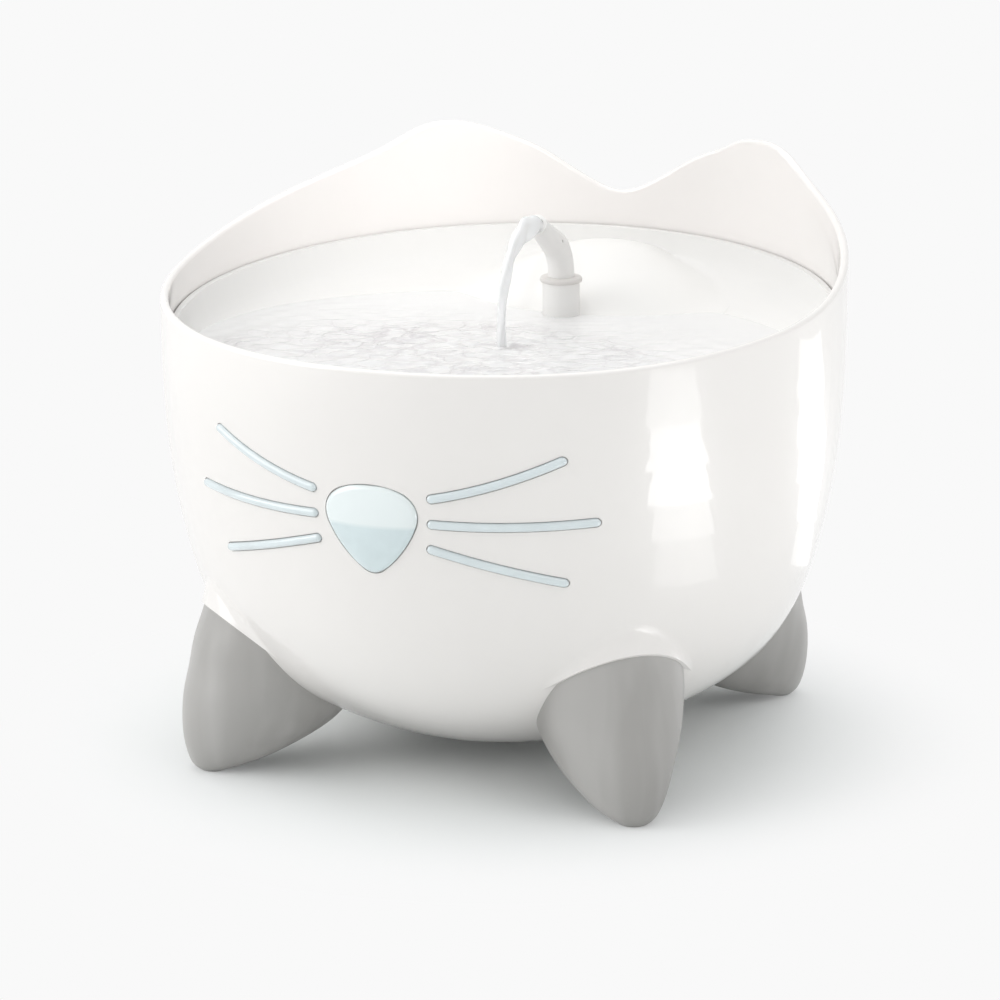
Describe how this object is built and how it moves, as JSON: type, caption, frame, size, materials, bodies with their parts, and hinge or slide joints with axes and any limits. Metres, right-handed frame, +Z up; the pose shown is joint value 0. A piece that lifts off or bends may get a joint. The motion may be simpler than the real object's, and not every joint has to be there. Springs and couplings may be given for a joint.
{
  "type": "pet water fountain",
  "caption": "Round pet drinking fountain with cat-ear rim, nose light and whiskers, grey feet, lift-out drinking tray with spout, submersible pump and filter.",
  "frame": {"origin": "on the ground under the bowl's axis", "axes": "+Z up; the face looks towards -Y, the ears stand at the back towards +Y, +X is the viewer's right"},
  "size_m": [0.245, 0.245, 0.206],
  "materials": {
    "bowl_white": "gloss",
    "tray_white": "gloss",
    "foot_grey": "soft matt",
    "ice_blue": "clear tinted gloss",
    "inner_white": "matt",
    "pump_grey": "matt",
    "dark_plastic": "matt",
    "soft_grey": "soft matt",
    "silicone": "translucent",
    "black_rubber": "matt",
    "steel": "bright",
    "brass": "bright",
    "board_green": "satin",
    "led_clear": "clear",
    "magnet": "satin",
    "ceramic": "polished",
    "foam": "open cell",
    "lead_white": "satin",
    "water": "clear"
  },
  "bodies": {
    "bowl": {"reservoir_bowl": "bowl_white", "foot_front_left": "foot_grey", "foot_front_right": "foot_grey", "foot_back_left": "foot_grey", "foot_back_right": "foot_grey", "foot_anchors": "inner_white", "nose_lens": "ice_blue", "whisker_left_top": "ice_blue", "whisker_left_middle": "ice_blue", "whisker_left_bottom": "ice_blue", "whisker_right_top": "ice_blue", "whisker_right_middle": "ice_blue", "whisker_right_bottom": "ice_blue", "light_box_cover": "inner_white", "light_box_gasket": "soft_grey", "light_box_screws": "steel", "led_board": "board_green", "leds": "led_clear", "lead_grommet": "soft_grey", "led_lead": "lead_white", "lead_clips": "inner_white", "power_inlet": "dark_plastic", "inlet_pin": "brass", "inlet_seal": "soft_grey", "inlet_nut": "inner_white", "pump_lead": "lead_white", "pump_body": "pump_grey", "pump_stator": "dark_plastic", "impeller_shaft": "ceramic", "shaft_bush_rear": "black_rubber", "suction_cups": "silicone", "riser_tube": "silicone"},
    "pump_front": {"pump_cover": "pump_grey", "shaft_bush_front": "black_rubber"},
    "filter": {"filter_case": "inner_white", "filter_pad": "foam"},
    "rotor": {"impeller": "inner_white", "impeller_magnet": "magnet"},
    "tray": {"drinking_tray": "tray_white"},
    "spout_ring": {"spout_collar": "soft_grey", "spout_o_ring": "black_rubber"},
    "spout": {"spout": "tray_white"}
  },
  "joints": [
    {"name": "tray_lift", "type": "slide", "parent": "bowl", "child": "tray", "axis": [0, 0, 1], "range_m": [0, 0.09]},
    {"name": "spout_pull", "type": "slide", "parent": "tray", "child": "spout_ring", "axis": [0, 0, 1], "range_m": [0, 0.03]},
    {"name": "spout_swivel", "type": "hinge", "parent": "spout_ring", "child": "spout", "pos_m": [0, 0.0572, 0.158], "axis": [0, 0, 1], "continuous": true},
    {"name": "impeller_spin", "type": "hinge", "parent": "bowl", "child": "rotor", "pos_m": [0, 0.02, 0.039], "axis": [0, 1, 0], "continuous": true},
    {"name": "cover_pull", "type": "slide", "parent": "bowl", "child": "pump_front", "axis": [0, -1, 0], "range_m": [0, 0.02]},
    {"name": "filter_lift", "type": "slide", "parent": "pump_front", "child": "filter", "axis": [0, 0, 1], "range_m": [0, 0.045]}
  ]
}
